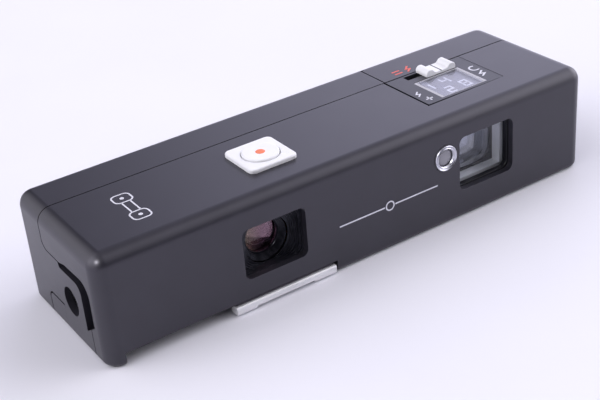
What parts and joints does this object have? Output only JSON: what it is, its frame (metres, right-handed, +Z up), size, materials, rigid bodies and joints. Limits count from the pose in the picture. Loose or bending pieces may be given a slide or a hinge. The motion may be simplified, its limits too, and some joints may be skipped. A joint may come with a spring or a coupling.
{
  "type": "pocket film camera",
  "caption": "Flat pocket camera for film cartridges, with a hinged film door, sliding film advance, sprung release, focus slider, viewfinder and battery cap.",
  "frame": {"origin": "middle of the footprint, on the surface that the camera lies on", "axes": "+X along the body to the right seen from the front, +Y from the lens to the back, +Z up"},
  "size_m": [0.134, 0.0398, 0.0286],
  "materials": {
    "black_case": "satin, very fine texture",
    "black_inner": "matt",
    "white_key": "semi-gloss",
    "silver_grip": "satin silver",
    "steel": "plain",
    "bright_ring": "polished",
    "brass": "turned",
    "black_steel": "blackened, turned",
    "clear": "polished",
    "coated_glass": "purple and amber coating",
    "acetal": "smooth",
    "circuit_green": "lacquered",
    "copper": "enamelled wire",
    "printed_card": "printed"
  },
  "bodies": {
    "camera_body": {"front_housing": "black_case", "rear_housing": "black_case", "base_plate": "black_case", "chassis": "black_inner", "lens_bezel": "black_inner", "scale_panel": "black_inner", "finder_bezel": "black_inner", "eyepiece_frame": "black_inner", "light_cell": "black_inner", "control_chip": "black_inner", "battery_holder": "black_inner", "release_bezel": "white_key", "base_screw_1": "steel", "base_screw_2": "steel", "base_screw_3": "steel", "base_screw_4": "steel", "door_hinge_pin": "steel", "pinion_axle": "steel", "idler_axle": "steel", "shutter_base": "steel", "shutter_pivot": "steel", "release_spring": "steel", "release_lever_pin": "steel", "battery": "steel", "sensor_ring": "bright_ring", "battery_spring": "brass", "battery_contact": "brass", "strap_socket": "black_steel", "scale_window": "clear", "finder_window": "clear", "finder_objective": "clear", "finder_eyepiece": "clear", "sensor_lens": "clear", "circuit_board": "circuit_green", "shutter_magnet": "copper", "timing_capacitor": "copper", "scale_card": "printed_card", "finder_tunnel": "printed_card"},
    "film_door": {"film_door": "black_case", "film_window": "clear", "cartridge_spring_left": "steel", "cartridge_spring_right": "steel", "latch_spring": "steel"},
    "door_latch": {"door_latch": "black_case"},
    "advance_slide": {"advance_slide": "black_case", "advance_grip": "silver_grip"},
    "advance_pinion": {"advance_pinion": "acetal"},
    "advance_idler": {"advance_idler": "acetal"},
    "takeup_driver": {"takeup_driver": "acetal"},
    "lens_group": {"lens_barrel": "black_inner", "lens_front_element": "coated_glass", "lens_middle_element": "clear", "lens_rear_element": "clear", "lens_retainer": "black_inner"},
    "shutter_blade": {"shutter_blade": "black_inner"},
    "release_button": {"release_button": "white_key"},
    "release_lever": {"release_lever": "steel"},
    "focus_slider": {"focus_knob": "white_key", "focus_link": "steel"},
    "battery_cap": {"battery_cap": "black_case"}
  },
  "joints": [
    {"name": "door_swing", "type": "hinge", "parent": "camera_body", "child": "film_door", "pos_m": [0.0258, 0.0182, 0], "axis": [0, 0, -1], "range_deg": [0, 90]},
    {"name": "latch_press", "type": "slide", "parent": "film_door", "child": "door_latch", "axis": [1, 0, 0], "range_m": [0, 0.001], "stiffness_N_per_m": 400, "springref_m": -0.001, "deforming": ["latch_spring"]},
    {"name": "advance_stroke", "type": "slide", "parent": "camera_body", "child": "advance_slide", "axis": [-1, 0, 0], "range_m": [0, 0.024]},
    {"name": "pinion_turn", "type": "hinge", "parent": "camera_body", "child": "advance_pinion", "pos_m": [-0.0372, -0.0014, 0.0025], "axis": [0, 0, -1], "range_deg": [0, 330]},
    {"name": "idler_turn", "type": "hinge", "parent": "camera_body", "child": "advance_idler", "pos_m": [-0.04574, 0.00175, 0.0025], "axis": [0, 0, 1], "range_deg": [0, 285]},
    {"name": "takeup_turn", "type": "hinge", "parent": "camera_body", "child": "takeup_driver", "pos_m": [-0.0507, 0.0102, 0.0025], "axis": [0, 0, -1], "range_deg": [0, 285]},
    {"name": "shutter_swing", "type": "hinge", "parent": "camera_body", "child": "shutter_blade", "pos_m": [-0.034, -0.0085, 0.009], "axis": [0, -1, 0], "range_deg": [0, 36], "stiffness_Nm_per_rad": 0.0004, "springref_deg": -11.46},
    {"name": "release_press", "type": "slide", "parent": "camera_body", "child": "release_button", "axis": [0, 0, -1], "range_m": [0, 0.001], "stiffness_N_per_m": 500, "springref_m": -0.001, "deforming": ["release_spring"]},
    {"name": "release_lever_turn", "type": "hinge", "parent": "camera_body", "child": "release_lever", "pos_m": [-0.007, -0.0045, 0.0234], "axis": [0, -1, 0], "range_deg": [0, 7.6]},
    {"name": "focus_shift", "type": "slide", "parent": "camera_body", "child": "focus_slider", "axis": [-1, 0, 0], "range_m": [0, 0.0052]},
    {"name": "lens_shift", "type": "slide", "parent": "camera_body", "child": "lens_group", "axis": [0, -1, 0], "range_m": [0, 0.00046]},
    {"name": "battery_cap_turn", "type": "hinge", "parent": "camera_body", "child": "battery_cap", "pos_m": [0.0565, 0.0178, 0.0135], "axis": [0, 1, 0], "range_deg": [0, 60]}
  ],
  "couplings": [
    {"joint": "pinion_turn", "follows": "advance_stroke", "rad_per_m": 238.1},
    {"joint": "idler_turn", "follows": "advance_stroke", "rad_per_m": 204.08},
    {"joint": "takeup_turn", "follows": "advance_stroke", "rad_per_m": 204.08},
    {"joint": "release_lever_turn", "follows": "release_press", "rad_per_m": 131.58},
    {"joint": "lens_shift", "follows": "focus_shift", "ratio": 0.086538}
  ]
}
